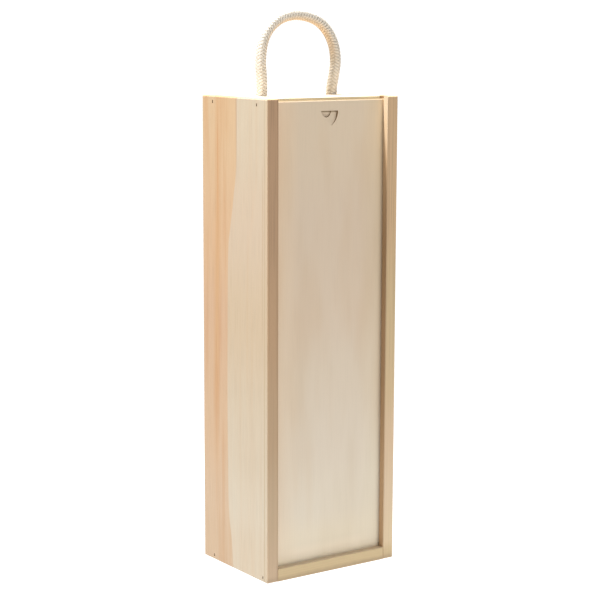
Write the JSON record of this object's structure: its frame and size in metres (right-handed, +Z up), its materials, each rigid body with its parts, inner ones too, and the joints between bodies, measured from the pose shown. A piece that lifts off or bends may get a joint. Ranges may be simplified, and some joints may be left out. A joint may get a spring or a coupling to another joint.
{
  "type": "wine box",
  "caption": "Tall wooden box for one wine bottle, with a thin lid that slides up in side grooves and a rope loop handle on top.",
  "frame": {"origin": "middle of the base, on the plane that the box stands on", "axes": "+Z up, -Y out of the front, where the sliding lid is, +X to the right seen from the front"},
  "size_m": [0.12, 0.09, 0.4302],
  "materials": {
    "pine": "bare, planed and sanded pine",
    "plywood": "bare, sanded light plywood",
    "cotton_rope": "undyed braided cotton",
    "steel": "bright drawn wire"
  },
  "bodies": {
    "box": {"left_side_board": "pine", "right_side_board": "pine", "top_board": "pine", "bottom_board": "pine", "back_panel": "plywood", "left_rope_end": "cotton_rope", "right_rope_end": "cotton_rope", "left_top_brads": "steel", "left_bottom_brads": "steel", "right_top_brads": "steel", "right_bottom_brads": "steel", "back_panel_brads": "steel"},
    "lid": {"sliding_lid": "plywood"},
    "handle": {"rope_handle": "cotton_rope"}
  },
  "joints": [
    {"name": "lid_slide", "type": "slide", "parent": "box", "child": "lid", "axis": [0, 0, 1], "range_m": [0, 0.44]},
    {"name": "handle_swing", "type": "hinge", "parent": "box", "child": "handle", "pos_m": [0, 0.004, 0.3695], "axis": [-1, 0, 0], "range_deg": [-80, 80], "stiffness_Nm_per_rad": 0.03}
  ]
}
